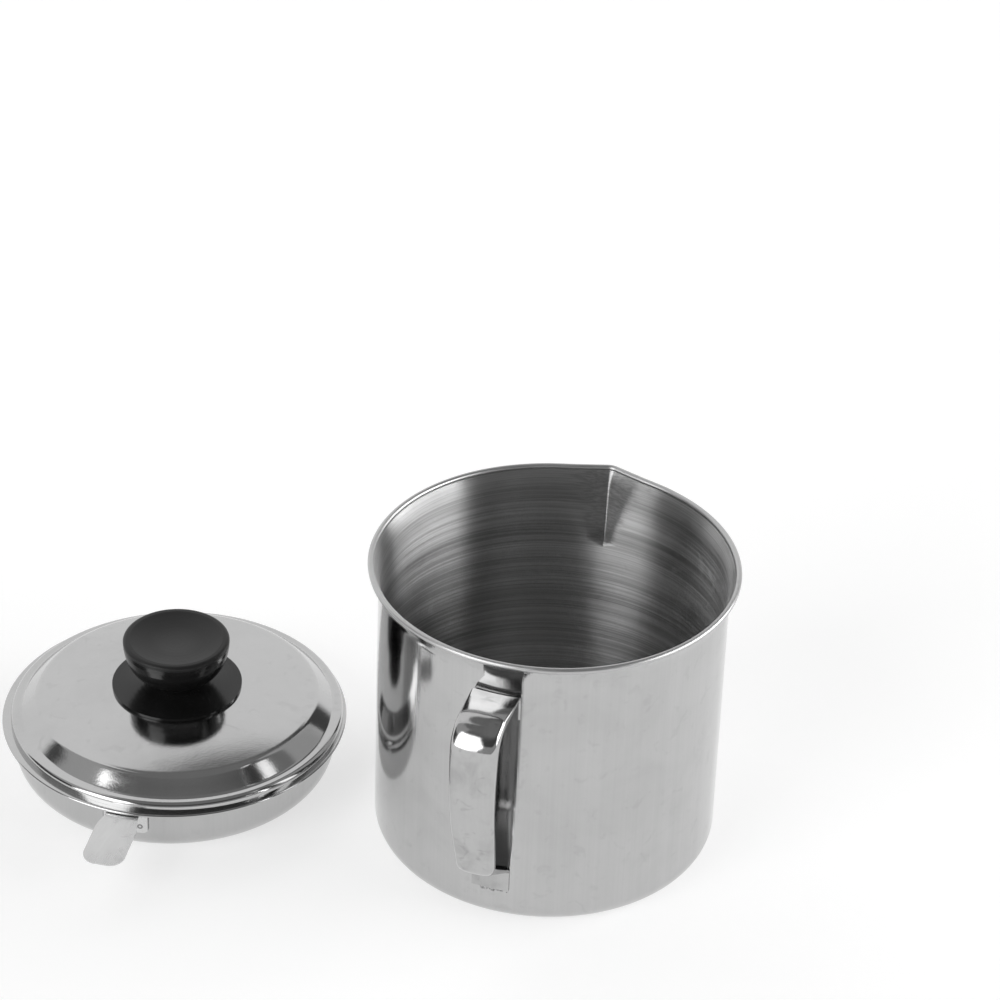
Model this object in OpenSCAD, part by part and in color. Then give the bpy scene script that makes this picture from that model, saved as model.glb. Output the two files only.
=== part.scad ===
// Bacon grease container: a steel pot with a pressed pouring spout and a strap handle,
// and a strainer pan that carries its own knobbed lid. The pan and lid stand beside the
// open pot. +Z is up, the origin is the centre of the pot's underside, the handle points
// to -Y and the spout to +Y. All lengths are in millimetres and all angles in degrees.

/* [Pot] */
// Outside diameter of the straight body
pot_d = 132; // [124:1:150]
// Height from the underside to the top of the rolled rim
pot_h = 120.5; // [112:0.5:150]
// Thickness of the pot's sheet
pot_sheet = 0.6; // [0.5:0.05:0.8]
// Outside radius of the bottom corner
pot_corner_r = 8; // [4:0.5:12]
// How far the wall flares out, to the middle of the rolled rim
flare_out = 2.8; // [2:0.1:4]
// Radius of the flare
flare_r = 14; // [10:1:20]
// Diameter of the rolled rim
rim_bead_d = 2.4; // [2:0.1:3]

/* [Spout] */
// Depth of the pressed groove below the top of the rim
spout_depth = 32; // [24:1:45]
// Angle that each side of the spout turns back from straight ahead
spout_side_angle = 19; // [17:0.5:22]
// Lean of the spout's crease from upright
spout_lean = 4.2; // [3:0.2:5]
// Inside radius of the crease where the groove starts
spout_nose_r = 0.15; // [0.1:0.05:0.5]
// How far the axis of the crease stands out from the body
spout_axis_out = 0.5; // [0.2:0.1:0.8]

/* [Handle] */
// Width of the strap over the knuckle
strap_w = 18.2; // [17:0.2:24]
// Width of the strap from its heel to the wall
heel_w = 14.6; // [12:0.2:16.8]
// Thickness of the strap's sheet
strap_t = 1; // [0.8:0.1:1.4]
// Depth of the strap's turned edges, over the sheet
strap_edge_h = 3.5; // [3:0.1:4.5]
// Outside radius of the turned edges
strap_edge_r = 2.4; // [1.8:0.1:2.8]
// Crown of the grip's face across its width
strap_crown = 0.5; // [0:0.1:1]
// Drop from the top of the rim to the top of the upper leg
handle_drop = 15; // [12:0.5:20]
// Rise of the upper leg from level
upper_leg_rise = 4; // [0:1:8]
// Straight length of the upper leg
upper_leg_len = 13; // [8:0.5:20]
// Outside radius of the knuckle
knuckle_r = 12.6; // [9:0.2:16]
// Outward lean of the grip below the knuckle
grip_lean_top = 8; // [4:1:12]
// Inward lean of the grip above its heel
grip_lean_low = 14; // [8:1:18]
// Radius of the grip's bow
grip_bow_r = 105; // [80:5:120]
// Straight length of the grip between its bow and its heel
grip_straight = 16; // [8:1:20]
// Outside radius of the heel, where the grip turns back to the wall
heel_r = 7; // [6:0.5:10]
// Slope of the lower leg below level
lower_leg_slope = 32; // [25:1:40]
// Height of each foot that lies flat on the wall
foot_h = 8; // [5:0.5:10]
// Outside radius of the bend at each foot
foot_bend_r = 2.4; // [1.8:0.1:3]

/* [Strainer] */
// Clear gap between the pan's wall and the inside of the pot
pan_fit = 2.1; // [1:0.1:3]
// Height of the pan over its flange
pan_h = 22.4; // [18:0.2:30]
// Thickness of the pan's sheet
pan_sheet = 0.6; // [0.5:0.05:0.8]
// Outside radius of the pan's bottom corner
pan_corner_r = 11.3; // [6:0.1:13]
// How far the flange's edge stays inside the edge of the pot's rim
flange_inset = 2.25; // [1:0.05:2.5]
// Inside radius of the bend from the pan's wall to its flange
flange_bend_r = 1; // [0.6:0.1:1.4]
// Diameter of the flange's rolled edge
flange_bead_d = 1.4; // [1.2:0.1:1.8]
// Width of the pan's floor that carries the mesh
mesh_ledge_w = 4.5; // [3:0.5:7]
// Gap between the mesh's edge and the pan's corner
mesh_edge_gap = 1.5; // [0.5:0.5:3]
// Thickness of the perforated mesh
mesh_t = 0.5; // [0.4:0.1:0.8]
// Diameter of a perforation
mesh_hole_d = 2.2; // [1.6:0.1:2.6]
// Spacing of the rings of perforations
mesh_pitch = 4.6; // [4.2:0.2:7]

/* [Strainer tab] */
// Turn of the tab from the handle's direction
tab_turn = 5.5; // [0:0.5:30]
// Thickness of the tab's sheet
tab_t = 0.6; // [0.5:0.1:0.8]
// Width of the plate that is welded to the pan's wall
plate_w = 18.2; // [17:0.2:24]
// Height of that plate below the bend
plate_h = 9; // [7:0.5:10]
// Corner radius of that plate
plate_corner_r = 2.5; // [1:0.5:3]
// Width of the tab at its bend
tab_neck_w = 12.8; // [10:0.2:14]
// Width of the finger tab
tab_w = 16.2; // [15:0.2:20]
// Length of the narrow neck beyond the bend
tab_neck_len = 3; // [2:0.5:5]
// Length over which the neck widens
tab_flare_len = 7; // [4:0.5:9]
// Length of the tab beyond the bend
tab_len = 29.8; // [22:0.2:36]
// Corner radius of the tab's tip
tab_tip_r = 5.5; // [2:0.5:7]
// Slope of the tab below level
tab_droop = 5.7; // [2:0.1:10]
// Inside radius of the tab's bend
tab_bend_r = 0.6; // [0.4:0.1:1]
// Diameter of the dimple that a spot weld leaves
weld_d = 2.2; // [1.5:0.1:3]
// Depth of that dimple
weld_depth = 0.15; // [0.1:0.05:0.3]
// Distance of each spot weld from the tab's middle line
weld_side = 5.8; // [4:0.2:7]

/* [Lid] */
// How far the lid's edge lies inside the flange's edge
lid_inset = 2.45; // [2:0.05:3]
// Thickness of the lid's sheet
lid_sheet = 0.6; // [0.5:0.05:0.8]
// Height of the lid's flat ring over the flange
lid_edge_h = 3.6; // [3:0.1:6]
// Outside radius between the ring and the turned-down edge
lid_edge_r = 2; // [1.5:0.1:2.5]
// Width of the flat ring, from the crease to the edge
lid_ring_w = 5; // [4:0.1:7]
// Outside radius of the crease
lid_crease_r = 1.2; // [0.8:0.1:1.6]
// Height of the shoulder's corner over the ring
lid_step_h = 5.5; // [4.5:0.1:8]
// Slope of the shoulder's side
lid_step_slope = 75; // [65:1:80]
// Outside radius of the shoulder
lid_shoulder_r = 6.2; // [4:0.2:7]
// Slope of the dome where it meets the shoulder
dome_slope = 9.4; // [6:0.2:12]
// How far the lid lies from the pan's middle, along X and along Y
lid_off = [1.05, 0.33];
// Diameter of the hole for the knob's screw
lid_hole_d = 4.8; // [4.6:0.1:6]

/* [Knob] */
// Largest diameter of the knob
knob_d = 41.6; // [34:0.2:50]
// Diameter of the knob's skirt
skirt_d = 50.8; // [44:0.2:60]
// Thickness of the skirt's edge
skirt_t = 1.1; // [0.8:0.1:2]
// Diameter of the neck
neck_d = 18.8; // [16:0.2:24]
// Height of the neck over the lid's top
neck_h = 3.7; // [3:0.1:6]
// Height from the neck to the widest part of the bowl
bowl_h = 16.2; // [13:0.2:22]
// Height of the lip over the widest part
lip_h = 1.2; // [0.8:0.1:2]
// Width of the rounded lip
lip_w = 1.6; // [1:0.1:2.5]
// Depth of the dished top
dish_h = 2; // [1:0.1:3]
// Width of the skirt's foot that rests on the lid
skirt_foot_w = 1.2; // [1:0.1:2]
// Depth of the relief under the skirt
skirt_relief = 0.3; // [0.1:0.1:0.4]

/* [Knob fixing] */
// Diameter of the threaded insert
insert_d = 8; // [7:0.5:10]
// Length of the threaded insert
insert_len = 12; // [10:0.5:15]
// Diameter of the screw's shank
screw_d = 4; // [3:0.5:4]
// Radial clearance between the shank and the insert's thread
thread_clear = 0.05; // [0.02:0.01:0.1]
// Length of the shank inside the insert
screw_grip = 8; // [6:0.5:9]
// Diameter of the screw's head
screw_head_d = 8; // [7:0.5:9]
// Height of the screw's head
screw_head_h = 2.4; // [2:0.1:3]
// Width of the screwdriver slot
slot_w = 1; // [0.8:0.1:1.2]
// Depth of the screwdriver slot
slot_depth = 1.1; // [0.8:0.1:1.3]
// Outside diameter of the washer
washer_d = 12; // [10:0.5:16]
// Thickness of the washer
washer_t = 1; // [0.8:0.1:1.5]
// Radial clearance between the washer and the shank
washer_clear = 0.2; // [0.1:0.05:0.4]

/* [Placing] */
// Clear gap between the pot's rim and the strainer's flange
set_gap = 12.25; // [5:0.25:60]
// Direction of the strainer from the pot, turned from -X towards -Y
set_turn = 5.5; // [0:0.5:40]
// Gap that is left where a curved piece seats on another
seat_gap = 0.02; // [0.01:0.01:0.05]

/* [Hidden] */
$fn = 96;
arc_step = 9;        // largest angle of one facet of a bend
arc_len = 6;         // longest facet of a wide bend
eps = 0.01;          // overlap that keeps a cut clean
steel = [0.75, 0.75, 0.76];
pale_steel = [0.80, 0.80, 0.81];
brass = [0.72, 0.58, 0.32];
black = [0.10, 0.10, 0.10];

pot_r = pot_d / 2;
bead_r = rim_bead_d / 2;
bead_z = pot_h - bead_r;
rim_seam = 120;                                  // where the rim's inner and outer faces part
rim_r = pot_r + flare_out;                       // middle of the rolled rim
flare_turn = acos(1 - flare_out / flare_r);
flare_z = bead_z - flare_r * sin(flare_turn);    // where the wall starts to flare

spout_axis = pot_r + spout_axis_out;
spout_z = pot_h - spout_depth;
crease_z = bead_z - flare_r * (sin(spout_lean + flare_turn) - sin(spout_lean));
spout_reach = spout_axis * sin(spout_side_angle);
toe_slope = 45;                                  // slope of the groove's lower end
spout_root = 4;                                  // how far the groove's block reaches inside
hair = 0.04;                                     // step between a flat side and the crease

pan_r = pot_r - pot_sheet - pan_fit;
flange_r = rim_r + bead_r - flange_inset;
flange_bead_r = flange_bead_d / 2;
mesh_r = pan_r - pan_corner_r - mesh_edge_gap;
drain_r = mesh_r - mesh_ledge_w;
mesh_margin = 2;                                 // plain rim inside the drain
mesh_rings = floor((drain_r - mesh_margin - mesh_hole_d / 2) / mesh_pitch);
set_x = -(rim_r + bead_r + set_gap + flange_r) * cos(set_turn);
set_y = -(rim_r + bead_r + set_gap + flange_r) * sin(set_turn);

lid_r = flange_r - lid_inset;
ring_z = pan_h + lid_edge_h;
shoulder_x = lid_r - lid_ring_w - lid_step_h / tan(lid_step_slope);
shoulder_z = ring_z + lid_step_h;
dome_run = shoulder_x - lid_shoulder_r * tan((lid_step_slope - dome_slope) / 2) - 0.5;
dome_r = dome_run / sin(dome_slope);
dome_corner = dome_r * tan(dome_slope / 2);
apex_z = shoulder_z + (shoulder_x - dome_corner) * tan(dome_slope);

knob_r = knob_d / 2;
skirt_r = skirt_d / 2;
neck_r = neck_d / 2;
knob_z = apex_z + seat_gap;
skirt_z = dome_z(skirt_r - skirt_foot_w) + seat_gap;
boss_r = neck_r - 1.5;
bowl_z = knob_z + neck_h + bowl_h;
washer_z = dome_z(washer_d / 2) - lid_sheet - seat_gap - washer_t;

// ---- outlines ----------------------------------------------------------------------

// Height of the lid's outer surface at radius r
function dome_z(r) = apex_z - dome_r + sqrt(dome_r * dome_r - r * r);

// Points of an elliptical arc round [x, y], with half axes a and b, from angle t0 to t1
function arc(x, y, a, b, t0, t1) =
    let (n = max(2, ceil(abs(t1 - t0) / arc_step), ceil(abs(t1 - t0) * PI / 180 * a / arc_len)))
    [for (i = [0:n]) let (t = t0 + (t1 - t0) * i / n) [x + a * cos(t), y + b * sin(t)]];

function unit(v) = v / norm(v);
function left_of(a, b) = let (u = unit(b - a)) [-u.y, u.x];
function xy(p) = [p.x, p.y];
function cross2(a, b) = a.x * b.y - a.y * b.x;

// A path is a list of [x, y, radius]. Moves it sideways by d, to the left of its run,
// and keeps every rounded corner parallel to itself.
function beside(path, d) = let (m = len(path) - 1)
    [for (i = [0:m]) let (
        a = left_of(xy(path[max(i - 1, 0)]), xy(path[max(i, 1)])),
        b = left_of(xy(path[min(i, m - 1)]), xy(path[min(i + 1, m)])),
        q = xy(path[i]) + d * (a + b) / (1 + a * b),
        s = cross2(a, b) > 0 ? -1 : 1)
        [q.x, q.y, path[i][2] == 0 ? 0 : path[i][2] + s * d]];

// Points of a path, with an arc at each corner that has a radius
function rounded(path) = let (m = len(path) - 1)
    [for (i = [0:m]) each (i == 0 || i == m || path[i][2] == 0 ? [xy(path[i])] :
        let (p = xy(path[i]),
             u = unit(xy(path[i - 1]) - p),
             v = unit(xy(path[i + 1]) - p),
             half = acos(u * v) / 2,
             c = p + unit(u + v) * path[i][2] / sin(half),
             s = cross2(u, v) > 0 ? -1 : 1,
             t0 = atan2(s * u.x, -s * u.y))
        arc(c.x, c.y, path[i][2], path[i][2], t0, t0 + s * (180 - 2 * half)))];

function reverse(list) = [for (i = [len(list) - 1:-1:0]) list[i]];

// Outline of a bent sheet of thickness t, whose outer face follows the path
function sheet(path, t) = concat(rounded(path), reverse(rounded(beside(path, t))));

// ---- pot ---------------------------------------------------------------------------

// One face of the flaring wall, from [x, z] on its outer face up to a seam on the rolled rim.
// The side is 0 for the outer face and 1 for the inner one.
function flare(x, z, lean, side) =
    let (r = flare_r + side * pot_sheet,
         c = [x + flare_r * cos(lean), z - flare_r * sin(lean)],
         b = c + flare_r * [-cos(lean + flare_turn), sin(lean + flare_turn)],
         met = acos((r * r + flare_r * flare_r - bead_r * bead_r) / (2 * r * flare_r)),
         p = c + r * [-cos(lean + flare_turn - met), sin(lean + flare_turn - met)],
         from = atan2(p.y - b.y, p.x - b.x) + 360 * side)
    concat([for (i = [0:5]) let (t = lean + (flare_turn - met) * i / 6)
               c + r * [-cos(t), sin(t)]],
           arc(b.x, b.y, bead_r, bead_r, from, rim_seam));

// Closes an outline from its last point back to x = back: below the rim for the outer face,
// and over it for the inner one, which cuts the mouth open
function closed(outline, side, back) = concat(outline, side == 0 ? [[back, bead_z]]
    : [[outline[len(outline) - 1].x, pot_h + 1], [back, pot_h + 1]]);

// Half outline of all that lies inside the pot's outer or inner face
function pot_fill(side) =
    let (inset = side * pot_sheet)
    closed(concat(
        [[0, inset]],
        arc(pot_r - pot_corner_r, pot_corner_r, pot_corner_r - inset, pot_corner_r - inset, -90, 0),
        flare(pot_r, flare_z, 0, side)), side, 0);

// The same for the spout, measured from the axis of its crease back to x = back
function spout_fill(side, back) =
    let (nose = spout_nose_r + pot_sheet,
         inset = side * pot_sheet,
         z = spout_z + inset * tan(toe_slope / 2))
    closed(concat(
        [[back, z - (nose - inset - back) * tan(toe_slope)], [nose - inset, z]],
        flare(nose + (crease_z - spout_z) * tan(spout_lean), crease_z, spout_lean, side)),
        side, back);

// Puts the two flat sides of the spout against its rounded crease. A side's end lies a hair
// inside the crease, so that the two cross cleanly.
module spout_block(side) {
    translate([0, spout_axis, 0]) {
        rotate([0, 0, 90 - spout_side_angle])
            rotate_extrude(angle = 2 * spout_side_angle) polygon(spout_fill(side, 0));
        for (s = [-1, 1]) mirror([s < 0 ? 1 : 0, 0, 0]) rotate([0, 0, -spout_side_angle])
            translate([-2 * hair, -hair, 0]) rotate([90, 0, 90]) linear_extrude(spout_reach)
                polygon(spout_fill(side, -spout_root));
    }
}

module pot_body() {
    color(steel) difference() {
        union() {
            rotate_extrude() polygon(pot_fill(0));
            spout_block(0);
        }
        rotate_extrude() polygon(pot_fill(1));
        spout_block(1);
    }
}

// ---- handle ------------------------------------------------------------------------

// One length of the strap: [length or radius, turn, steps] and then edge, curve and taper at
// its end. A turn of 0 is straight, a positive turn is to the right of the run. The edge goes
// from 0, flat, to 1, fully turned. The curve is 1 where the face hugs the wall, -1 where the
// back does, and 0 where the face has only its crown. The taper goes from 0, the width over
// the knuckle, to 1, the width at the heel.
grip_turn = grip_lean_top + grip_lean_low;
upper_bend = 90 - upper_leg_rise;
knuckle_turn = upper_leg_rise + 90 - grip_lean_top;
heel_turn = 90 - grip_lean_low - lower_leg_slope;
foot_turn = 90 - lower_leg_slope;
grip_run = [
    [foot_h, 0, 2, 0, 1, 0],
    [foot_bend_r, upper_bend, 6, 0, 0.3, 0],
    [upper_leg_len, 0, 4, 0.7, 0, 0],
    [knuckle_r, knuckle_turn, 14, 1, 0, 0],
    [grip_bow_r, grip_turn, 8, 1, 0, 0.4],
    [grip_straight, 0, 3, 1, 0, 0.8],
    [heel_r, heel_turn, 7, 0.9, 0, 1]];

// Where a run stands after one more step of length or turn: [x, z, heading]
function ahead(at, size, turn) = turn == 0
    ? [at.x + size * cos(at.z), at.y + size * sin(at.z), at.z]
    : [at.x + size * (sin(at.z) - sin(at.z - turn)),
       at.y - size * (cos(at.z) - cos(at.z - turn)), at.z - turn];

// A station is [where it stands, edge, curve, taper]. Follows a run from the first station.
function stations(run, from, i = 0) = i == len(run) ? [] :
    let (r = run[i], at = from[0], turned = r[1] != 0)
    concat([for (k = [1:r[2]]) let (f = k / r[2])
                [ahead(at, turned ? r[0] : r[0] * f, r[1] * f),
                 for (j = [1:3]) from[j] + (r[j + 2] - from[j]) * f]],
           stations(run, [ahead(at, r[0], r[1]), r[3], r[4], r[5]], i + 1));

handle_start = [pot_r + seat_gap,
    pot_h - handle_drop - foot_bend_r * cos(upper_leg_rise) - foot_h, 90];
top_stop = [handle_start, 0, 1, 0];
upper_run = concat([top_stop], stations(grip_run, top_stop));
heel_stop = upper_run[len(upper_run) - 1];
heel = heel_stop[0];
inner_bend_r = foot_bend_r - strap_t;
lower_leg_len = (heel.x - pot_r - seat_gap - strap_t - inner_bend_r * (1 - sin(lower_leg_slope)))
    / cos(lower_leg_slope);
lower_run = stations([
    [lower_leg_len, 0, 4, 0.1, -0.3, 1],
    [-inner_bend_r, -foot_turn, 6, 0, -1, 1],
    [foot_h, 0, 2, 0, -1, 1]], heel_stop);
strap_run = concat(upper_run, lower_run);

// Cross-section of the strap at one station, as [out of its face, across]
function strap_section(edge, curve, taper) =
    let (w = (strap_w + (heel_w - strap_w) * taper) / 2,
         h = strap_t + (strap_edge_h - strap_t) * edge,
         r = 0.4 + (strap_edge_r - 0.4) * edge,
         inner_r = max(0.1, r - strap_t),
         face = concat([[-h, -w]], strap_half(0, w, r), [[0, 0]],
                       strap_half(0, -w, r, true), [[-h, w]]),
         back = concat([[-h, strap_t - w]], strap_half(-strap_t, w - strap_t, inner_r),
                       [[-strap_t, 0]],
                       strap_half(-strap_t, strap_t - w, inner_r, true), [[-h, w - strap_t]]))
    [for (p = concat(face, reverse(back)))
        [p.x + curve * (pot_r - sqrt(pot_r * pot_r - p.y * p.y))
         - strap_crown * edge * pow(p.y / w, 2), p.y]];

// A rounded edge of the section and the half of the face beside it, up to its middle
function strap_half(x, w, r, far = false) = far
    ? reverse([for (p = strap_half(x, -w, r)) [p.x, -p.y]])
    : concat([for (i = [0:4]) let (t = 90 * i / 4) [x - r + r * sin(t), -w + r - r * cos(t)]],
             [for (i = [1:3]) [x, -(w - r) * (1 - i / 4)]]);

module pot_handle() {
    rings = [for (stop = strap_run) let (out = [-sin(stop[0].z), cos(stop[0].z)])
        [for (p = strap_section(stop[1], stop[2], stop[3]))
            [p.y, -(stop[0].x + out.x * p.x), stop[0].y + out.y * p.x]]];
    n = len(rings[0]);
    last = len(rings) - 1;
    end = [for (i = [0:n / 2 - 2]) [i, i + 1, n - 2 - i, n - 1 - i]];
    color(pale_steel) polyhedron([for (ring = rings) each ring], concat(end,
        [for (j = [0:last - 1], i = [0:n - 1]) let (a = j * n + i, b = j * n + (i + 1) % n)
            each [[a, a + n, b + n], [a, b + n, b]]],
        [for (f = end) [for (i = reverse(f)) last * n + i]]));
}

// ---- strainer ----------------------------------------------------------------------

module beside_pot() translate([set_x, set_y, 0]) children();

// Turns +X to the tab's direction
module towards_tab() rotate([0, 0, tab_turn - 90]) children();

module strainer_pan() {
    rise = pan_h - pan_sheet;
    wall = [
        [drain_r, 0, 0],
        [pan_r, 0, pan_corner_r],
        [pan_r, rise, flange_bend_r],
        [flange_r - flange_bead_r, rise, 0]];
    color(steel) beside_pot() rotate_extrude() union() {
        polygon(sheet(wall, pan_sheet));
        translate([flange_r - flange_bead_r, pan_h - flange_bead_r]) circle(flange_bead_r);
    }
}

module strainer_mesh() {
    color(pale_steel) beside_pot() translate([0, 0, pan_sheet]) linear_extrude(mesh_t)
        difference() {
            circle(mesh_r);
            circle(d = mesh_hole_d, $fn = 24);
            for (k = [1:mesh_rings], i = [0:6 * k - 1]) rotate(60 * i / k)
                translate([k * mesh_pitch, 0]) circle(d = mesh_hole_d, $fn = 24);
        }
}

bend_z = pan_h - flange_bead_d - tab_bend_r - tab_t;     // centre of the tab's bend
bend_x = pan_r + seat_gap + tab_t + tab_bend_r;
plate_z = bend_z - plate_h;

// Half of the finger tab's flat shape, from its bend outwards
tab_half = rounded([[-5, 0, 0], [-5, tab_neck_w / 2, 0], [tab_neck_len, tab_neck_w / 2, 0],
    [tab_neck_len + tab_flare_len, tab_w / 2, 0], [tab_len, tab_w / 2, tab_tip_r], [tab_len, 0, 0]]);

// Bent strip that stands on the plate and runs out as the finger tab
module tab_strip() {
    out = [cos(tab_droop), -sin(tab_droop)] * (tab_len + 1);
    top = arc(bend_x, bend_z, tab_bend_r + tab_t, tab_bend_r + tab_t, 180, 90 - tab_droop);
    under = arc(bend_x, bend_z, tab_bend_r, tab_bend_r, 90 - tab_droop, 180);
    difference() {
        rotate([90, 0, 0]) linear_extrude(tab_w + 2, center = true) polygon(concat(
            [[under[len(under) - 1].x, bend_z - 2], [top[0].x, bend_z - 2]],
            top, [top[len(top) - 1] + out, under[0] + out], under));
        translate([bend_x, 0, bend_z]) rotate([0, tab_droop, 0]) linear_extrude(10, center = true)
            difference() {
                translate([-4, -tab_w]) square([tab_len + 8, 2 * tab_w]);
                polygon(concat(tab_half, reverse([for (p = tab_half) [p.x, -p.y]])));
            }
    }
}

// Sheet wrapped on the pan's wall, cut to a plate with rounded corners
module tab_plate() {
    half = plate_w / 2;
    top = bend_z + 0.1;
    outline = [[0, 0, 0], [half, 0, plate_corner_r], [half, plate_h, plate_corner_r],
               [half - plate_corner_r - 0.1, plate_h, 0], [half - plate_corner_r - 0.1, top - plate_z, 0],
               [0, top - plate_z, 0]];
    side = rounded(outline);
    difference() {
        translate([pan_r - 3, 0, plate_z]) rotate([90, 0, 90]) linear_extrude(6)
            polygon(concat(side, reverse([for (p = side) [-p.x, p.y]])));
        cylinder(r = pan_r + seat_gap, h = pan_h);
        rotate_extrude() translate([pan_r + seat_gap + tab_t, 0]) square([10, pan_h]);
    }
}

module strainer_tab() {
    color(pale_steel) beside_pot() towards_tab() difference() {
        union() {
            tab_plate();
            tab_strip();
        }
        for (s = [-1, 1]) translate([pan_r + seat_gap + tab_t - weld_depth, s * weld_side,
                                     plate_z + plate_h / 3])
            rotate([0, 90, 0]) cylinder(d = weld_d, h = 1);
    }
}

// ---- lid and knob ------------------------------------------------------------------

module on_strainer() beside_pot() translate([lid_off.x, lid_off.y, 0]) children();

module lid() {
    // Outer face, followed from the edge up to the middle so that the sheet lies on its left
    face = [
        [lid_r, pan_h, 0],
        [lid_r, ring_z, lid_edge_r],
        [lid_r - lid_ring_w, ring_z, lid_crease_r],
        [shoulder_x, shoulder_z, lid_shoulder_r],
        [dome_corner, apex_z, dome_r],
        [0, apex_z, 0]];
    color(steel) on_strainer() difference() {
        rotate_extrude() polygon(sheet(face, lid_sheet));
        translate([0, 0, apex_z - 2 * lid_sheet]) cylinder(d = lid_hole_d, h = 3 * lid_sheet);
    }
}

module knob() {
    neck_z = knob_z + neck_h;
    skirt_top = skirt_z + skirt_t;
    foot_r = skirt_r - skirt_foot_w;
    dish_r = knob_r - lip_w - 1;
    top_z = bowl_z + lip_h;
    color(black) on_strainer() difference() {
        rotate_extrude() polygon(concat(
            [[0, knob_z], [boss_r, knob_z], [boss_r, dome_z(boss_r) + skirt_relief],
             [foot_r, dome_z(foot_r) + skirt_relief], [foot_r, skirt_z], [skirt_r, skirt_z]],
            arc(skirt_r, neck_z, skirt_r - neck_r, neck_z - skirt_top, 270, 180),
            arc(neck_r, bowl_z, knob_r - neck_r, bowl_h, -90, 0),
            arc(knob_r - lip_w, bowl_z, lip_w, lip_h, 0, 90),
            [for (i = [0:8]) let (r = dish_r * (1 - i / 8))
                [r, top_z - dish_h * (1 - pow(r / dish_r, 2))]]));
        translate([0, 0, knob_z - 1]) cylinder(d = insert_d, h = insert_len + 1);
    }
}

module knob_insert() {
    color(brass) on_strainer() translate([0, 0, knob_z]) difference() {
        cylinder(d = insert_d, h = insert_len);
        translate([0, 0, -1]) cylinder(r = screw_d / 2 + thread_clear, h = insert_len);
    }
}

module knob_screw() {
    color(pale_steel) on_strainer() difference() {
        union() {
            translate([0, 0, washer_z - eps])
                cylinder(d = screw_d, h = knob_z + screw_grip - washer_z + eps);
            rotate_extrude() polygon(concat([[0, washer_z]],
                [[screw_head_d / 2, washer_z]],
                arc(0, washer_z - screw_head_h / 3, screw_head_d / 2, screw_head_h * 2 / 3, 0, -90)));
        }
        translate([-screw_head_d / 2, -slot_w / 2, washer_z - screw_head_h - 1])
            cube([screw_head_d, slot_w, slot_depth + 1]);
    }
}

module knob_washer() {
    color(pale_steel) on_strainer() translate([0, 0, washer_z]) difference() {
        cylinder(d = washer_d, h = washer_t);
        translate([0, 0, -1]) cylinder(r = screw_d / 2 + washer_clear, h = washer_t + 2);
    }
}

pot_body();
pot_handle();
strainer_pan();
strainer_mesh();
strainer_tab();
lid();
knob();
knob_insert();
knob_screw();
knob_washer();
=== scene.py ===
"""Looks of a steel bacon grease container: an open pot with a spout and a strap handle, and
beside it a strainer pan with a finger tab and a knobbed lid. Lengths are in metres, in the
row frame: +Z up, the handle towards -Y, the spout towards +Y, the strainer towards -X."""

import math

import bpy
import numpy as np
from mathutils import Matrix, Vector


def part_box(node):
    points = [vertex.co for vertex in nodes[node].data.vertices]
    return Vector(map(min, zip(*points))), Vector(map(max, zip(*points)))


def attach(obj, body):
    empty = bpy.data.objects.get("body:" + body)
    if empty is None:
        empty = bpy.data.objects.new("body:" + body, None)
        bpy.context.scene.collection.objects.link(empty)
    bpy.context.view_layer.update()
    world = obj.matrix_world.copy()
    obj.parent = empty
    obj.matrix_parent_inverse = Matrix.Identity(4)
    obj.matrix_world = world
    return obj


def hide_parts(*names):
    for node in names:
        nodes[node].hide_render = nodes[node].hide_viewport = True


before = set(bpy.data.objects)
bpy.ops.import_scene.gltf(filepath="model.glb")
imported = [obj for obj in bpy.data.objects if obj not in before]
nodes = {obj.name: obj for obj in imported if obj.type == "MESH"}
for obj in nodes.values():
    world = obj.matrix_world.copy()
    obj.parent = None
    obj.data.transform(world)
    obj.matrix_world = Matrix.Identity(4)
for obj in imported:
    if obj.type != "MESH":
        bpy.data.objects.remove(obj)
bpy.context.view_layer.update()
scene = bpy.context.scene

MM = 0.001

# ---- sizes ----------------------------------------------------------------------------
# Most repeat the part's. The strap's edges and the lid's step are softer here, and the
# rolled rim and the flange are a hair smaller, so that both stay inside the part's box.

SHEET = 0.6 * MM
POT_R = 66 * MM
POT_H = 120.5 * MM
POT_CORNER = 8 * MM
BEAD = 1.18 * MM                         # radius of the pot's rolled rim
BEAD_Z = POT_H - 1.2 * MM
FLARE_OUT = 2.8 * MM
FLARE_R = 14 * MM

SPOUT_SIDE = math.radians(19)            # turn of each flat side of the spout
SPOUT_LEAN = math.radians(4.2)           # lean of its crease
SPOUT_AXIS = POT_R + 0.5 * MM
SPOUT_LOW = POT_H - 32 * MM
SPOUT_NOSE = 0.15 * MM                   # inside radius of the crease where it starts
BLEND = 0.7 * MM                         # softness of the pressed edges

STRAP_W = 18.2 * MM
HEEL_W = 14.6 * MM
STRAP_T = 1 * MM
STRAP_EDGE_H = 2.5 * MM
STRAP_EDGE_R = 2.2 * MM
STRAP_CROWN = 1.5 * MM
STRAP_DROP = 15 * MM
FOOT_H = 8 * MM
FOOT_BEND = 2.4 * MM
LEG_RISE = 4
LEG_SLOPE = 32
SEAT_GAP = 0.02 * MM

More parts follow.
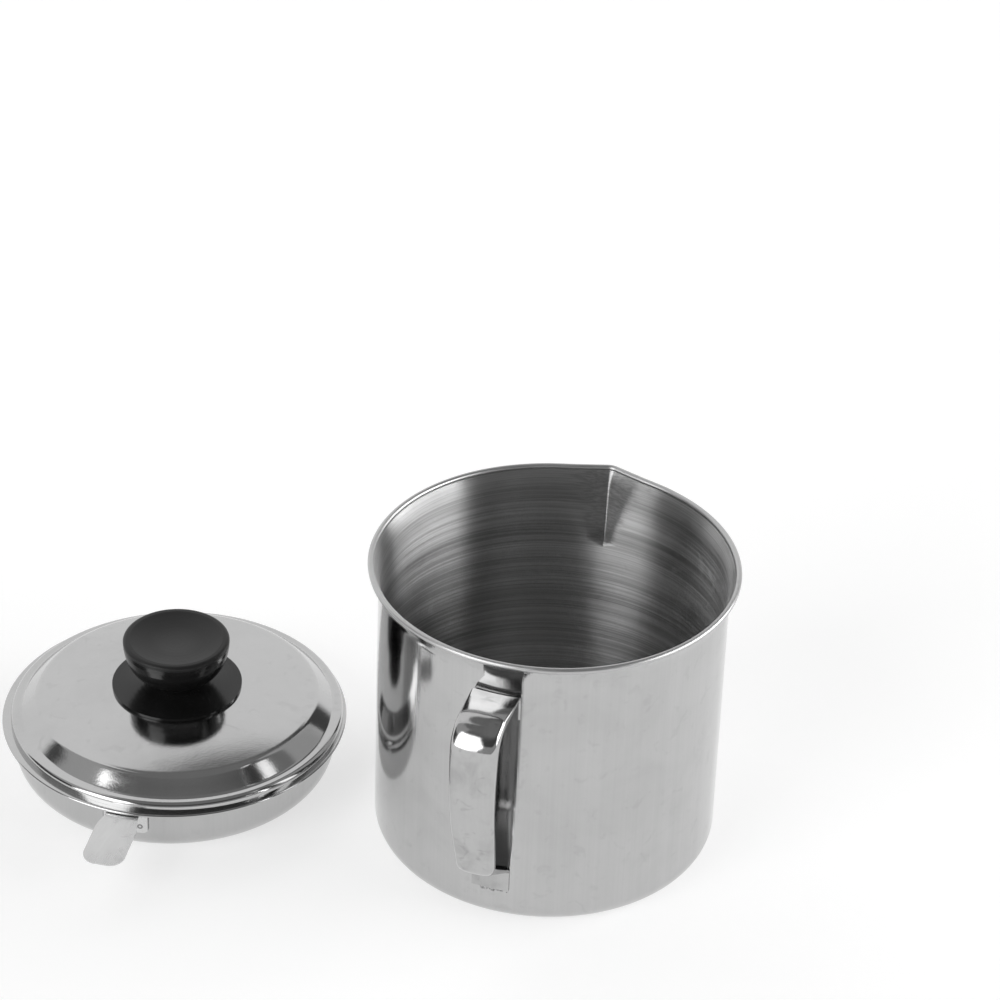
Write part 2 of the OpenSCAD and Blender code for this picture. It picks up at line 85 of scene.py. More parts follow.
SET_REACH = 150 * MM                     # from the pot's axis to the strainer's
SET_TURN = math.radians(5.5)
SET_AT = Vector((-SET_REACH * math.cos(SET_TURN), -SET_REACH * math.sin(SET_TURN), 0))
LID_AT = SET_AT + Vector((1.05 * MM, 0.33 * MM, 0))
PAN_H = 22.4 * MM
PAN_R = 63.3 * MM
PAN_CORNER = 11.3 * MM
FLANGE_R = 67.72 * MM
FLANGE_BEAD = 0.7 * MM
WELD_SIDE = 5.8 * MM                     # place of the welds on the tab's plate
WELD_Z = 13.8 * MM
PLATE_SIDE = 9.1 * MM
DRAIN_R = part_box("strainer_mesh")[1].x - SET_AT.x - 4.5 * MM

LID_R = 65.3 * MM
RING_Z = 26 * MM
STEP_FOOT = LID_R - 3.9 * MM
STEP_SLOPE = math.radians(43)
SHOULDER_R = 5 * MM
DOME_SLOPE = math.radians(9.08)
DOME_REACH = 52.5 * MM                   # where the dome's bend ends
DOME_EDGE_Z = 32.54 * MM                 # its height there
LID_HOLE = 2.4 * MM
KNOB_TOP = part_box("knob")[1].z

# ---- camera ---------------------------------------------------------------------------

CAMERA_AT = (0.32116, -1.08976, 0.87660)
CAMERA_HEADING = math.radians(17.5)      # turn of the view from +Y towards -X
CAMERA_PITCH = math.radians(32.713)      # downwards
CAMERA_ROLL = math.radians(2.064)
LENS = 131.53
SENSOR = 36


def make_camera():
    """The camera that the photograph was taken from, fitted to the object's outlines."""
    data = bpy.data.cameras.new("camera")
    data.lens = LENS
    data.sensor_width = SENSOR
    data.clip_start = 0.05
    data.clip_end = 50
    camera = bpy.data.objects.new("camera", data)
    camera.matrix_world = (
        Matrix.Translation(CAMERA_AT)
        @ Matrix.Rotation(CAMERA_HEADING, 4, "Z")
        @ Matrix.Rotation(math.pi / 2 - CAMERA_PITCH, 4, "X")
        @ Matrix.Rotation(CAMERA_ROLL, 4, "Z")
    )
    scene.collection.objects.link(camera)
    scene.camera = camera


# ---- outlines -------------------------------------------------------------------------

ARC_STEP = math.radians(4)
LONGEST = 2.5 * MM                       # longest facet of a wide bend


def arc(x, y, r, t0, t1, step=ARC_STEP):
    """Points of an arc round (x, y), from angle t0 to t1, in radians."""
    span = abs(t1 - t0)
    count = max(2, math.ceil(span / step), math.ceil(span * r / LONGEST))
    return [(x + r * math.cos(t), y + r * math.sin(t)) for t in np.linspace(t0, t1, count + 1)]


def beside(path, d):
    """A path of (x, y, corner radius) moved sideways by d, to the left of its run."""
    moved = []
    last = len(path) - 1
    for i, (x, y, r) in enumerate(path):
        k, m = max(i, 1), min(i + 1, last)
        before = Vector(path[k][:2]) - Vector(path[k - 1][:2])
        after = Vector(path[m][:2]) - Vector(path[m - 1][:2])
        a = Vector((-before.y, before.x)).normalized()
        b = Vector((-after.y, after.x)).normalized()
        shift = (a + b) * (d / (1 + a.dot(b)))
        side = -1 if a.x * b.y - a.y * b.x > 0 else 1
        moved.append((x + shift.x, y + shift.y, r + side * d if r else 0))
    return moved


def rounded(path):
    """Points of a path, with an arc at each corner that has a radius."""
    points = []
    last = len(path) - 1
    for i, (x, y, r) in enumerate(path):
        if i in (0, last) or not r:
            points.append((x, y))
            continue
        p = Vector((x, y))
        u = (Vector(path[i - 1][:2]) - p).normalized()
        v = (Vector(path[i + 1][:2]) - p).normalized()
        half = math.acos(max(-1, min(1, u.dot(v)))) / 2
        centre = p + (u + v).normalized() * (r / math.sin(half))
        side = -1 if u.x * v.y - u.y * v.x > 0 else 1
        t0 = math.atan2(side * u.x, -side * u.y)
        points += arc(centre.x, centre.y, r, t0, t0 + side * (math.pi - 2 * half))
    return points


# ---- meshes ---------------------------------------------------------------------------


def make_mesh(name, points, faces, at=(0, 0, 0), slots=None):
    mesh = bpy.data.meshes.new(name)
    mesh.from_pydata([tuple(p) for p in points], [], faces)
    mesh.polygons.foreach_set("use_smooth", [True] * len(mesh.polygons))
    if slots is not None:
        mesh.polygons.foreach_set("material_index", slots)
    mesh.update()
    obj = bpy.data.objects.new(name, mesh)
    obj.location = at
    scene.collection.objects.link(obj)
    return obj


def grid_faces(rows, columns, close_rows=False):
    """Quads between rows of points. Each row is joined end to end."""
    faces = []
    for i in range(rows if close_rows else rows - 1):
        a, b = i * columns, ((i + 1) % rows) * columns
        for j in range(columns):
            k = (j + 1) % columns
            faces.append((a + j, a + k, b + k, b + j))
    return faces


def spread(outline, longest):
    """A closed outline with added points, so that no stretch of it is longer than asked."""
    points = []
    for i, p in enumerate(outline):
        q = outline[(i + 1) % len(outline)]
        count = max(1, math.ceil(math.dist(p, q) / longest))
        points += [(p[0] + (q[0] - p[0]) * k / count, p[1] + (q[1] - p[1]) * k / count)
                   for k in range(count)]
    return points


def turned(name, outline, at, turns=240):
    """Ring of revolution of a closed (r, z) outline that runs counter-clockwise."""
    ring = spread(outline, 4 * MM)
    angles = np.linspace(0, 2 * np.pi, turns, endpoint=False)
    points = [(r * math.cos(t), r * math.sin(t), z) for r, z in ring for t in angles]
    obj = make_mesh(name, points, grid_faces(len(ring), turns, close_rows=True), at)
    obj.data.set_sharp_from_angle(angle=math.radians(35))
    return obj


# ---- pot ------------------------------------------------------------------------------

FLARE_TURN = math.acos(1 - FLARE_OUT / FLARE_R)
FLARE_Z = BEAD_Z - FLARE_R * math.sin(FLARE_TURN)
RIM_R = POT_R + FLARE_OUT
CREASE_Z = BEAD_Z - FLARE_R * (math.sin(SPOUT_LEAN + FLARE_TURN) - math.sin(SPOUT_LEAN))
CREASE_REACH = SPOUT_NOSE + SHEET + (CREASE_Z - SPOUT_LOW) * math.tan(SPOUT_LEAN)
SPOUT_RIM = CREASE_REACH + FLARE_R * (math.cos(SPOUT_LEAN) - math.cos(SPOUT_LEAN + FLARE_TURN))
WIDE = math.radians(40)                  # half of the turn that the spout can change
NO_SPOUT = -1                            # groove reach at levels below the spout
RIM_STEPS = 25
COARSE_TO = 84 * MM                      # height up to which the levels lie far apart
FINE_FROM, FINE_TO = 85 * MM, 93 * MM    # heights with close levels, at the spout's foot
NEAR = 0.13                              # half of the turn, in radians, with close columns
NEAR_STEPS, WIDE_STEPS, REST_STEPS = 66, 60, 240


def wall_reach(z, inset):
    """Radius of the pot's wall at height z, and distance of the spout's from its axis."""
    r = FLARE_R + inset
    ring = POT_R - inset
    if z > FLARE_Z:
        ring = POT_R + FLARE_R - math.sqrt(r * r - (z - FLARE_Z) ** 2)
    bend_x = CREASE_REACH + FLARE_R * math.cos(SPOUT_LEAN)
    bend_z = CREASE_Z - FLARE_R * math.sin(SPOUT_LEAN)
    end_x = bend_x - r * math.cos(SPOUT_LEAN)
    end_z = bend_z + r * math.sin(SPOUT_LEAN)
    low = SPOUT_LOW + inset * math.tan(math.radians(22.5))
    nose = SPOUT_NOSE + SHEET - inset
    if z > end_z:
        groove = bend_x - math.sqrt(r * r - (z - bend_z) ** 2)
    elif z > low:
        groove = nose + (z - low) * (end_x - nose) / (end_z - low)
    else:
        groove = nose - (low - z)
    return ring, groove


def mouth_radius(turn, ring, groove):
    """Distance from the pot's axis to its wall, at a turn from the spout's direction."""
    flat = SPOUT_AXIS * math.cos(SPOUT_SIDE) + groove
    joint = 0
    if groove > 0:
        across = groove * math.sin(SPOUT_SIDE)
        joint = math.atan2(across, SPOUT_AXIS + groove * math.cos(SPOUT_SIDE))
    if turn < joint:
        off = SPOUT_AXIS * math.sin(turn)
        side = SPOUT_AXIS * math.cos(turn) + math.sqrt(groove * groove - off * off)
    elif turn < SPOUT_SIDE:
        side = flat / math.cos(turn - SPOUT_SIDE)
    else:
        side = flat * math.cos(turn - SPOUT_SIDE)
    near = max(0, 1 - abs(side - ring) / BLEND)
    return max(side, ring) + near * near * BLEND / 4


def pot_levels(inset):
    """(ring radius, groove reach, height) up one face of the wall, then round the rim."""
    flat = POT_R - POT_CORNER
    corner = arc(flat, POT_CORNER, POT_CORNER - inset, -math.pi / 2, 0)
    levels = [(flat * k / 8, NO_SPOUT, inset) for k in range(1, 8)]
    levels += [(x, NO_SPOUT, z) for x, z in corner]
    r = FLARE_R + inset
    met = math.acos((r * r + FLARE_R ** 2 - BEAD ** 2) / (2 * r * FLARE_R))
    met_z = FLARE_Z + r * math.sin(FLARE_TURN - met)
    stops = np.concatenate([
        np.arange(POT_CORNER + 4 * MM, COARSE_TO, 4 * MM),
        np.arange(FINE_FROM, FINE_TO, 0.4 * MM),
        np.arange(93.5 * MM, FLARE_Z - 0.5 * MM, MM),
        np.linspace(FLARE_Z, met_z, 20)])
    levels += [(*wall_reach(z, inset), z) for z in stops]
    start = math.atan2(met_z - BEAD_Z, levels[-1][0] - RIM_R)
    if inset:
        start += 2 * math.pi
    for t in np.linspace(start, math.pi / 2, RIM_STEPS + 1)[1:]:
        out = BEAD * math.cos(t)
        levels.append((RIM_R + out, SPOUT_RIM + out, BEAD_Z + BEAD * math.sin(t)))
    return levels


def make_pot():
    """The pot as one skin. Slot 0 is its outside, slot 1 its inside and slot 2 its rim."""
    half = np.concatenate([
        np.linspace(0, NEAR, NEAR_STEPS, endpoint=False),
        np.linspace(NEAR, WIDE, WIDE_STEPS, endpoint=False)])
    rest = np.linspace(WIDE, 2 * np.pi - WIDE, REST_STEPS)
    turns = np.concatenate([half, rest, 2 * np.pi - half[:0:-1]])
    outer = pot_levels(0)
    inner = pot_levels(SHEET)[-2::-1]
    points = []
    for ring, groove, z in outer + inner:
        for t in turns:
            near = min(t, 2 * np.pi - t)
            bent = groove > NO_SPOUT / 2 and near < WIDE
            r = mouth_radius(near, ring, groove) if bent else ring
            points.append((r * math.sin(t), r * math.cos(t), z))
    columns = len(turns)
    rows = len(outer) + len(inner)
    faces = [f[::-1] for f in grid_faces(rows, columns)]
    under, floor = len(points), len(points) + 1
    points += [(0, 0, 0), (0, 0, SHEET)]
    top = (rows - 1) * columns
    for j in range(columns):
        faces.append((under, j, (j + 1) % columns))
    for j in range(columns):
        faces.append((floor, top + (j + 1) % columns, top + j))
    inside = len(outer) + RIM_STEPS - 2
    slots = []
    for i in range(rows - 1):
        slot = 0 if i < len(outer) - RIM_STEPS else 2 if i < inside else 1
        slots += [slot] * columns
    slots += [0] * columns + [1] * columns
    return make_mesh("pot", points, faces, slots=slots)


# ---- handle ---------------------------------------------------------------------------

GRIP_RUN = [
    # length or radius, turn in degrees, steps; edge, curve and taper at its end
    (FOOT_H, 0, 3, 0, 1, 0),
    (FOOT_BEND, 90 - LEG_RISE, 14, 0, 0.3, 0),
    (13 * MM, 0, 8, 0.7, 0, 0),
    (12.6 * MM, LEG_RISE + 82, 36, 1, 0, 0),
    (105 * MM, 22, 24, 1, 0, 0.4),
    (16 * MM, 0, 6, 1, 0, 0.8),
    (7 * MM, 44, 18, 0.9, 0, 1)]


def ahead(at, size, turn):
    """Where a run stands after one more step, as (distance out, height, heading)."""
    x, z, heading = at
    h = math.radians(heading)
    if turn == 0:
        return x + size * math.cos(h), z + size * math.sin(h), heading
    g = math.radians(heading - turn)
    return (x + size * (math.sin(h) - math.sin(g)),
            z - size * (math.cos(h) - math.cos(g)), heading - turn)


def stations(run, start):
    """Follows a run from its first station: (place, edge, curve, taper)."""
    stops = [start]
    for size, turn, steps, *ends in run:
        at, *begins = stops[-1]
        for k in range(1, steps + 1):
            f = k / steps
            place = ahead(at, size if turn else size * f, turn * f)
            stops.append((place, *[a + (b - a) * f for a, b in zip(begins, ends)]))
    return stops


def strap_side(x, w, r, low, lip):
    """One side of the strap's face or back: its turned edge, its corner, half of the flat."""
    edge = [(x - low, w - math.copysign(lip, w)), (x - low + abs(lip), w)]
    turn = np.linspace(0, math.pi / 2, 9)
    bend = [(x - r + r * math.sin(t), w - r + r * math.cos(t)) for t in turn]
    flat = [(x, (w - r) * (1 - k / 6)) for k in range(1, 6)]
    return edge + bend + flat


def strap_section(edge, curve, taper):
    """Cross-section of the strap at one station, as (out of its face, across)."""
    w = (STRAP_W + (HEEL_W - STRAP_W) * taper) / 2
    h = STRAP_T + (STRAP_EDGE_H - STRAP_T) * edge
    r = 0.4 * MM + (STRAP_EDGE_R - 0.4 * MM) * edge
    inner_r = max(0.02 * MM, min(r, h) - STRAP_T)
    lip = 0.25 * MM
    face = strap_side(0, w, r, h, lip)
    back = strap_side(-STRAP_T, w - STRAP_T, inner_r, h - STRAP_T, lip)
    back[0] = (-h, w - STRAP_T + lip)
    back[1] = (-h + min(lip, h - STRAP_T), w - STRAP_T)
    ring = []
    for middle, side in ((0, face), (-STRAP_T, back)):
        whole = side + [(middle, 0)] + [(x, -y) for x, y in reversed(side)]
        ring += whole if middle == 0 else whole[::-1]
    sag = [POT_R - math.sqrt(POT_R ** 2 - y * y) for _, y in ring]
    crown = [STRAP_CROWN * edge * abs(y / w) ** 3 for _, y in ring]
    return [(x + curve * s - c, y) for (x, y), s, c in zip(ring, sag, crown)]


def make_handle():
    rise = math.radians(LEG_RISE)
    slope = math.radians(LEG_SLOPE)
    foot_z = POT_H - STRAP_DROP - FOOT_BEND * math.cos(rise) - FOOT_H
    upper = stations(GRIP_RUN, ((POT_R + SEAT_GAP, foot_z, 90), 0, 1, 0))
    inner = FOOT_BEND - STRAP_T
    back = POT_R + SEAT_GAP + STRAP_T + inner * (1 - math.sin(slope))
    leg = (upper[-1][0][0] - back) / math.cos(slope)
    lower = stations([
        (leg, 0, 10, 0.1, -0.3, 1),
        (-inner, LEG_SLOPE - 90, 14, 0, -1, 1),
        (FOOT_H, 0, 3, 0, -1, 1)], upper[-1])
    points = []
    stops = upper + lower[1:]
    for (x, z, heading), *shape in stops:
        h = math.radians(heading)
        ring = strap_section(*shape)
        points += [(y, -(x - math.sin(h) * p), z + math.cos(h) * p) for p, y in ring]
    n = len(ring)
    caps = [(i, i + 1, n - 2 - i, n - 1 - i) for i in range(n // 2 - 1)]
    base = (len(stops) - 1) * n
    faces = grid_faces(len(stops), n)
    faces += [f[::-1] for f in caps]
    faces += [tuple(base + i for i in f) for f in caps]
    obj = make_mesh("handle", points, faces)
    obj.data.set_sharp_from_angle(angle=math.radians(50))
    return obj


# ---- strainer pan, lid and weld marks -------------------------------------------------


def make_pan():
    low = PAN_H - SHEET
    x = FLANGE_R - FLANGE_BEAD
    z = PAN_H - FLANGE_BEAD
    wall = [(DRAIN_R, 0, 0), (PAN_R, 0, PAN_CORNER), (PAN_R, low, MM), (x, low, 0)]
    met = math.pi - math.asin((low - z) / FLANGE_BEAD)
    bead = arc(x, z, FLANGE_BEAD, met, 2.5 * math.pi, math.radians(10))
    back = rounded(beside(wall, SHEET))[-2::-1]
    return turned("pan", rounded(wall)[:-1] + bead + back, SET_AT)


def make_lid():
    dome_r = DOME_REACH / math.sin(DOME_SLOPE)
    corner = dome_r * math.tan(DOME_SLOPE / 2)
    fall, rise = math.tan(DOME_SLOPE), math.tan(STEP_SLOPE)
    apex = DOME_EDGE_Z + (DOME_REACH - corner) * fall
    shoulder_x = (RING_Z - apex + STEP_FOOT * rise - corner * fall) / (rise - fall)
    face = [
        (LID_R, PAN_H + SEAT_GAP, 0),
        (LID_R, RING_Z, 2 * MM),
        (STEP_FOOT, RING_Z, 2.2 * MM),
        (shoulder_x, apex - (shoulder_x - corner) * fall, SHOULDER_R),
        (corner, apex, dome_r),
        (0, apex, 0)]
    outer = [p for p in rounded(face) if p[0] > LID_HOLE]
    inner = [p for p in rounded(beside(face, SHEET)) if p[0] > LID_HOLE]
    hole = [(LID_HOLE, apex), (LID_HOLE, apex - SHEET)]
    return turned("lid_shell", outer + hole + inner[::-1], LID_AT)


LUMPS = 13
FIRST_LUMP = -4                          # in pitches from the middle of the foot
LUMP_PITCH = 0.8 * MM


def make_weld():
    """Small lumps of weld metal along the lower edge of the handle's lower foot."""
    rng = np.random.default_rng(7)
    foot_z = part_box("pot_handle")[0].z
    points, faces = [], []
    for k in range(LUMPS):
        across = (k + FIRST_LUMP) * LUMP_PITCH + rng.uniform(-0.3, 0.3) * MM
        size = rng.uniform(0.35, 0.8) * MM
        z = foot_z - rng.uniform(0, 1.5) * MM
        reach = math.sqrt(POT_R ** 2 - across ** 2) - 0.1 * MM
        first = len(points)
        for t in np.linspace(0.15, math.pi / 2, 5):
            for u in np.linspace(0, 2 * math.pi, 10, endpoint=False):
                wide = size * math.sin(t) * (1 + 0.15 * math.sin(3 * u + k))
                points.append((across + 1.3 * wide * math.cos(u),
                               -(reach + 0.55 * size * math.cos(t)),
                               z + wide * math.sin(u)))
        faces += [tuple(first + c for c in reversed(f)) for f in grid_faces(5, 10)]
        faces.append(tuple(first + c for c in range(10)))
    return make_mesh("weld_marks", points, faces)


# ---- node graphs ----------------------------------------------------------------------


class Graph:
    """Short calls that add nodes to a tree. Each returns an output socket."""

    def __init__(self, tree):
        self.tree = tree
        tree.nodes.clear()

    def add(self, kind, inputs=None, out=0, **settings):
        node = self.tree.nodes.new(kind)
        for key, value in settings.items():
            setattr(node, key, value)
        for key, value in (inputs or {}).items():
            if isinstance(value, bpy.types.NodeSocket):
                self.tree.links.new(value, node.inputs[key])
            else:
                node.inputs[key].default_value = value
        return node.outputs[out] if node.outputs else None

    def math(self, operation, a, b=0.0, clamp=False):
        return self.add("ShaderNodeMath", {0: a, 1: b}, operation=operation, use_clamp=clamp)

    def times(self, a, b):
        return self.math("MULTIPLY", a, b)

    def plus(self, a, b):
        return self.math("ADD", a, b)

    def ease(self, value, low, high, first=0.0, last=1.0):
        """Goes smoothly from first to last as the value goes from low to high."""
        inputs = {"Value": value, "From Min": low, "From Max": high, "To Min": first,
                  "To Max": last}
        return self.add("ShaderNodeMapRange", inputs, interpolation_type="SMOOTHSTEP")

    def noise(self, vector, scale, detail=2.0, rough=0.5, warp=0.0):
        inputs = {"Vector": vector, "Scale": scale, "Detail": detail, "Roughness": rough,
                  "Distortion": warp}
        return self.add("ShaderNodeTexNoise", inputs)

    def split(self, vector):
        x = self.add("ShaderNodeSeparateXYZ", {0: vector})
        return x.node.outputs

    def join(self, x, y, z):
        return self.add("ShaderNodeCombineXYZ", {0: x, 1: y, 2: z})

    def grey(self, value, tint=(1.0, 1.0, 1.0)):
        """A colour from one value and a tint."""
        parts = [self.times(value, t) for t in tint]
        return self.add("ShaderNodeCombineColor", {0: parts[0], 1: parts[1], 2: parts[2]})

    def bump(self, height, strength, distance=0.4 * MM):
        inputs = {"Strength": strength, "Distance": distance, "Height": height}
        return self.add("ShaderNodeBump", inputs)

    def principled(self, **inputs):
        names = {key.replace("_", " "): value for key, value in inputs.items()}
        self.surface(self.add("ShaderNodeBsdfPrincipled", names))

    def surface(self, shader):
        self.add("ShaderNodeOutputMaterial", {"Surface": shader})


# ---- materials ------------------------------------------------------------------------

STEEL = 0.50                             # base colour of the bare steel
MOST = (0.35, 0.65)                      # most values of a noise lie between these
DISH = (2.6 * MM, 1.2 * MM)              # below the knob's top: where its gloss turns dull


def start_material(name):
    """A new material, its graph, and the place on the object in the row frame."""
    material = bpy.data.materials.new(name)
    material.use_nodes = True
    graph = Graph(material.node_tree)
    return material, graph, graph.add("ShaderNodeTexCoord", out=3)


def smudges(graph, place, seed, patch):
    """0 to 1: faint wiped patches and small finger marks."""
    moved = graph.add("ShaderNodeVectorMath", {0: place, 1: (seed, 0.3 * seed, 0.7 * seed)},
                      operation="ADD")
    wide = graph.ease(graph.noise(moved, patch, 3.0, 0.55, 0.6), 0.35, 0.75)
    small = graph.ease(graph.noise(moved, 160.0, 2.0, 0.6, 0.8), 0.58, 0.72)
    return graph.math("ADD", graph.times(wide, 0.7), graph.times(small, 0.5), clamp=True)


def grain_along(graph, place, way, across, along):
    """Coordinates that change fast across the grain and slowly along it."""
    x, y, z = graph.split(place)
    if way == "round":
        radius = graph.math("SQRT", graph.plus(graph.times(x, x), graph.times(y, y)))
        return graph.join(graph.times(graph.plus(radius, z), across),
                          graph.times(graph.math("SUBTRACT", radius, z), across),
                          graph.times(graph.math("ARCTAN2", x, y), 0.06 * along))
    scale = [along if axis == way else across for axis in "xyz"]
    return graph.join(*[graph.times(c, s) for c, s in zip((x, y, z), scale)])


def steel(name, rough=0.10, grain="z", seed=0.0, across=1400.0, along=12.0, bump=0.02,
          anisotropic=0.0, streak=0.02, wipe=0.03, patch=22.0, base=STEEL, marks_and_shade=None):
    """Bare stainless steel with a fine grain along x, y or z, or round the z axis. Streaks
     and wiped patches change its tone, and the last argument is a function that adds dark marks
     and painted shade."""
    material, graph, place = start_material(name)
    lines = grain_along(graph, place, grain, across, along)
    fine = graph.ease(graph.noise(lines, 1.0, 3.0, 0.6), *MOST)
    coarse = graph.ease(graph.noise(lines, 0.13, 2.0, 0.5), *MOST)
    wiped = smudges(graph, place, seed, patch)
    tone = graph.plus(base - 0.5 * streak, graph.times(graph.plus(fine, coarse), 0.5 * streak))
    tone = graph.plus(tone, graph.times(wiped, -wipe))
    # darkens the tone by the dark marks, and by painted shade where the function paints it
    if marks_and_shade:
        tone = graph.plus(tone, graph.times(marks_and_shade(graph, place), -0.6 * base))
    gloss = graph.plus(0.9 * rough, graph.times(fine, 0.2 * rough))
    gloss = graph.plus(gloss, graph.times(wiped, 0.55 * rough))
    height = graph.plus(graph.times(fine, 0.6), graph.times(coarse, 0.4))
    inputs = {"Base_Color": graph.grey(tone), "Metallic": 1.0, "Roughness": gloss,
              "Normal": graph.bump(height, bump)}
    if anisotropic:
        inputs["Anisotropic"] = anisotropic
        inputs["Anisotropic_Rotation"] = 0.25
        inputs["Tangent"] = graph.add("ShaderNodeTangent", direction_type="RADIAL", axis="Z")
    graph.principled(**inputs)
    return material


def weld_rings_and_edge_shade(graph, place):
    """0 to 1: a dark ring round each weld of the tab's plate, and a painted shade line at the
    plate's side edges.
    """
    x, y, z = graph.split(place)
    side_x, side_y = math.cos(SET_TURN), math.sin(SET_TURN)
    across = graph.plus(graph.times(x, side_x), graph.times(y, side_y))
    across = graph.math("ABSOLUTE", graph.plus(across, -SET_AT.x * side_x - SET_AT.y * side_y))
    a = graph.plus(across, -WELD_SIDE)
    b = graph.plus(z, -WELD_Z)
    reach = graph.math("SQRT", graph.plus(graph.times(a, a), graph.times(b, b)))
    off = graph.math("ABSOLUTE", graph.plus(reach, -0.8 * MM))
    ring = graph.ease(off, 0.15 * MM, 0.5 * MM, 1.0, 0.0)
    # painted shade: a dark line along the plate's side edges, in place of the shade that falls
    # there
    edge = graph.ease(across, PLATE_SIDE - 0.5 * MM, PLATE_SIDE - 0.2 * MM)
    return graph.math("MAXIMUM", ring, edge)


def brass(name):
    """Turned brass with a slight mottle."""
    material, graph, place = start_material(name)
    mottle = graph.noise(place, 400.0, 3.0, 0.6)
    tone = graph.plus(0.62, graph.times(mottle, 0.2))
    graph.principled(Base_Color=graph.grey(tone, (1.0, 0.78, 0.42)), Metallic=1.0,
                     Roughness=graph.plus(0.22, graph.times(mottle, 0.2)),
                     Normal=graph.bump(graph.noise(place, 2500.0), 0.05))
    return material


def black_plastic(name):
    """Moulded phenolic plastic: glossier on its sides than on its dished top."""
    material, graph, place = start_material(name)
    top = graph.ease(graph.split(place)[2], KNOB_TOP - DISH[0], KNOB_TOP - DISH[1])
    grain = graph.noise(place, 1800.0)
    cloudy = graph.noise(place, 60.0, 3.0, 0.6)
    tone = graph.plus(0.006, graph.times(cloudy, 0.010))
    gloss = graph.plus(graph.plus(0.10, graph.times(top, 0.28)), graph.times(cloudy, 0.12))
    height = graph.plus(grain, graph.times(cloudy, 2.0))
    graph.principled(Base_Color=graph.grey(tone), Roughness=gloss, IOR=1.41,
                     Normal=graph.bump(height, 0.06))
    return material


def paint(obj, *materials):
    """Puts the materials in the object's slots and keeps which face has which slot."""
    slots = obj.data.materials
    for k, material in enumerate(materials):
        if k < len(slots):
            slots[k] = material
        else:
            slots.append(material)


# ---- floor and studio -----------------------------------------------------------------

BACKDROP = 1.0                           # levels of light, where 1 is white
UPPER = 0.5
SOFTBOX = 3.6
SIDE_BOX = 5.5
CEILING = 0.24
FRONT = 0.40
DARK = 0.08
FLOOR_GLOW = 0.60                        # with the light that the floor scatters, about 1
FLOOR_TONE = 0.50
FLOOR_HALF = 6
FLOOR_Z = -0.3 * MM

# Each panel's reach in degrees: round from the camera's side, or for the backdrop from
# the far side, and then in rise.
BACK_PANEL = (-76, 40), (-150, 52)
BACK_TILT = 0.33                         # rise that the backdrop's edges lose per degree
FRONT_PANEL = (-30, 66), (-20, 24)
RIGHT_PANEL = (61, 121), (3, 33)
UPPER_PANEL = (-112, -54), (32, 64)
LEFT_EDGE = (-66, -60)                   # the left softbox: its far edge,
LEFT_POINT = (-25, -19)                  # its near edge at the height of its point,
LEFT_POINT_RISE = 20
LEFT_TAPER = 0.45                        # how fast that edge draws back above and below,
LEFT_RISE = (-25, 48)                    # and its reach in rise
CEILING_RISE = (40, 64)                  # where darkness turns into the ceiling


def make_floor():
    """A pale matt floor that keeps the object's shadow. Its glow brings it up to white for
    the camera and for what mirrors it, and puts no light on matt surfaces."""
    material, graph, place = start_material("floor")
    tone = graph.plus(FLOOR_TONE, graph.times(graph.noise(place, 300.0), 0.02))
    matt = graph.add("ShaderNodeBsdfDiffuse", {"Color": graph.grey(tone)})
    path = graph.add("ShaderNodeLightPath").node.outputs
    seen = graph.math("MAXIMUM", path["Is Camera Ray"], path["Is Glossy Ray"])
    seen = graph.math("MAXIMUM", seen, path["Is Transmission Ray"])
    glow = graph.add("ShaderNodeEmission", {"Strength": graph.times(seen, FLOOR_GLOW)})
    graph.surface(graph.add("ShaderNodeAddShader", {0: matt, 1: glow}))
    material.cycles.emission_sampling = "NONE"       # the kind of ray decides who sees it
    half = FLOOR_HALF
    corners = [(-half, -half, 0), (half, -half, 0), (half, half, 0), (-half, half, 0)]
    floor = make_mesh("floor", corners, [(0, 1, 2, 3)], at=(0, 0, FLOOR_Z))
    paint(floor, material)


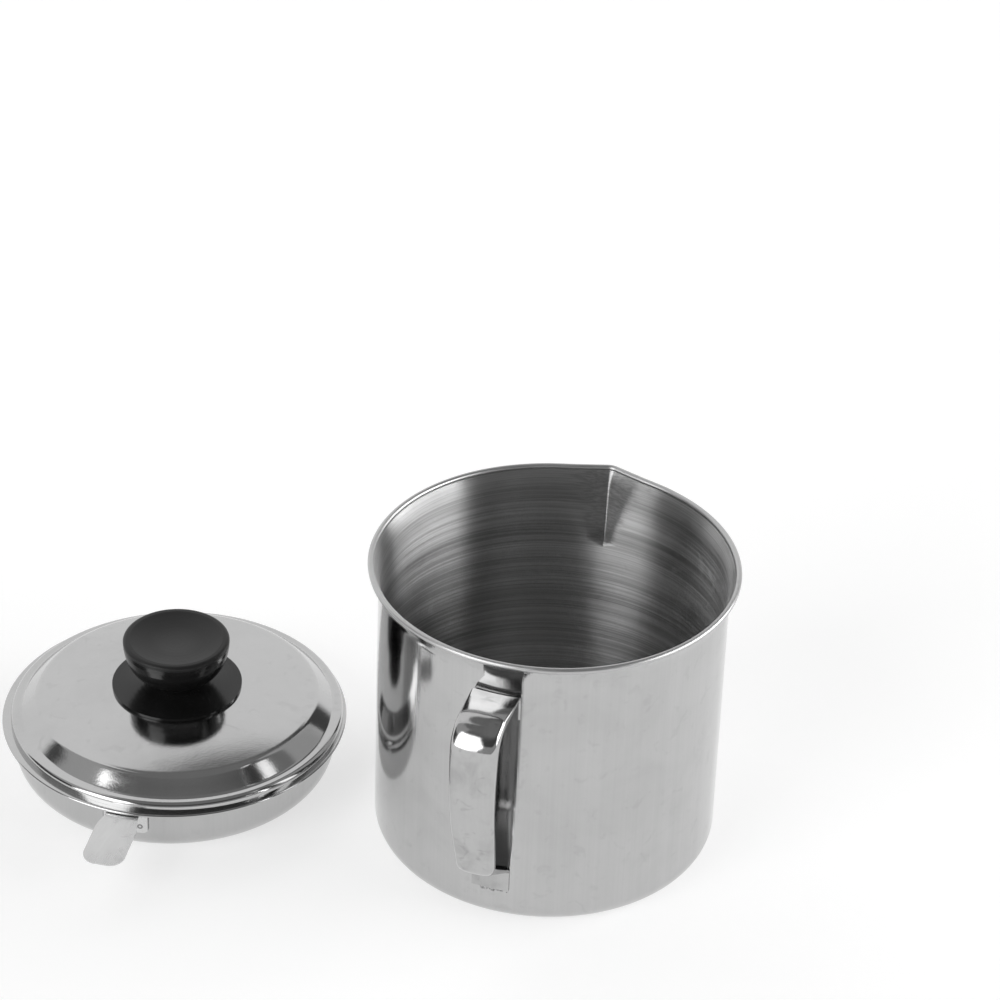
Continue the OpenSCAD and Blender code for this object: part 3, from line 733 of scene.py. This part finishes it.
def make_studio():
    """White to the camera. To all else a studio: a pale backdrop behind the object, a
    softbox on the left of the camera, a low one on its right, a weak low panel in front and
    darkness above that."""
    world = bpy.data.worlds.new("studio")
    scene.world = world
    world.use_nodes = True
    graph = Graph(world.node_tree)
    way = graph.add("ShaderNodeVectorRotate",
                    {"Vector": graph.add("ShaderNodeTexCoord"), "Angle": -CAMERA_HEADING},
                    rotation_type="Z_AXIS")
    x, y, z = graph.split(way)
    side = graph.math("DEGREES", graph.math("ARCTAN2", x, graph.times(y, -1.0)))
    rise = graph.math("DEGREES", graph.math("ARCSINE", z))

    def window(value, low, high, soft=6.0):
        up = graph.ease(value, low - soft / 2, low + soft / 2)
        return graph.times(up, graph.ease(value, high - soft / 2, high + soft / 2, 1.0, 0.0))

    def panel(turn, height, reach):
        return graph.times(window(turn, *reach[0]), window(height, *reach[1]))

    behind = graph.math("DEGREES", graph.math("ARCTAN2", x, y))
    tilted = graph.plus(rise, graph.times(behind, BACK_TILT))
    off = graph.math("ABSOLUTE", graph.math("SUBTRACT", rise, LEFT_POINT_RISE))
    pointed = graph.plus(side, graph.times(off, LEFT_TAPER))
    left = graph.times(graph.ease(side, *LEFT_EDGE), graph.ease(pointed, *LEFT_POINT, 1.0, 0.0))
    left = graph.times(left, window(rise, *LEFT_RISE))
    lights = [
        (panel(behind, tilted, BACK_PANEL), BACKDROP),
        (panel(side, rise, UPPER_PANEL), UPPER),
        (panel(side, rise, FRONT_PANEL), FRONT),
        (left, SOFTBOX),
        (panel(side, rise, RIGHT_PANEL), SIDE_BOX)]
    level = graph.ease(rise, *CEILING_RISE, DARK, CEILING)
    for part, strength in lights:
        level = graph.math("MAXIMUM", level, graph.times(part, strength))
    seen = graph.add("ShaderNodeLightPath")
    shown = graph.add("ShaderNodeMix", {0: seen, 2: level, 3: 1.0}, data_type="FLOAT")
    light = graph.add("ShaderNodeBackground", {"Strength": shown})
    light.node.inputs["Color"].default_value = (1, 1, 1, 1)
    graph.add("ShaderNodeOutputWorld", {"Surface": light})


# ---- the object -----------------------------------------------------------------------


def add_piece(obj, body, materials, replaces=None):
    """Makes a piece ride on a body, gives it its finish and hides the node it stands for."""
    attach(obj, body)
    if replaces:
        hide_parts(replaces)
    paint(obj, *materials)


make_camera()
make_floor()
make_studio()

outside = steel("pot_outside", rough=0.09, seed=1.0, wipe=0.05, patch=34.0)
inside = steel("pot_inside", rough=0.33, grain="round", across=900.0, bump=0.10,
               anisotropic=1.0, seed=2.0, streak=0.28, wipe=0.02)
rim = steel("pot_rim", rough=0.34, grain="round", across=500.0, bump=0.004, seed=1.5)
add_piece(make_pot(), "pot", [outside, inside, rim], "pot_body")
strap = steel("handle_face", rough=0.10, seed=3.0, wipe=0.14, patch=70.0, base=0.47)
add_piece(make_handle(), "pot", [strap], "pot_handle")
weld = steel("weld_metal", rough=0.4, seed=6.0, streak=0.4, base=0.3)
add_piece(make_weld(), "pot", [weld])
pan_wall = steel("pan_wall", rough=0.12, seed=4.0)
add_piece(make_pan(), "strainer", [pan_wall], "strainer_pan")
lid_face = steel("lid_face", rough=0.09, seed=5.0, streak=0.01, wipe=0.04)
add_piece(make_lid(), "lid_set", [lid_face], "lid")

paint(nodes["strainer_mesh"], steel("mesh_sheet", rough=0.2, grain="x", seed=7.0))
# the tab's dark marks: weld rings, and a painted shade line at the plate's side edges
paint(nodes["strainer_tab"], steel("tab_sheet", rough=0.22, grain="y", seed=8.0, bump=0.002,
                                     streak=0.01, base=0.64, marks_and_shade=weld_rings_and_edge_shade))
paint(nodes["knob"], black_plastic("knob_black"))
paint(nodes["knob_insert"], brass("insert_brass"))
paint(nodes["knob_screw"], steel("screw_metal", rough=0.2, seed=9.0))
paint(nodes["knob_washer"], steel("washer_metal", rough=0.25, seed=10.0))

scene.view_settings.view_transform = "Standard"
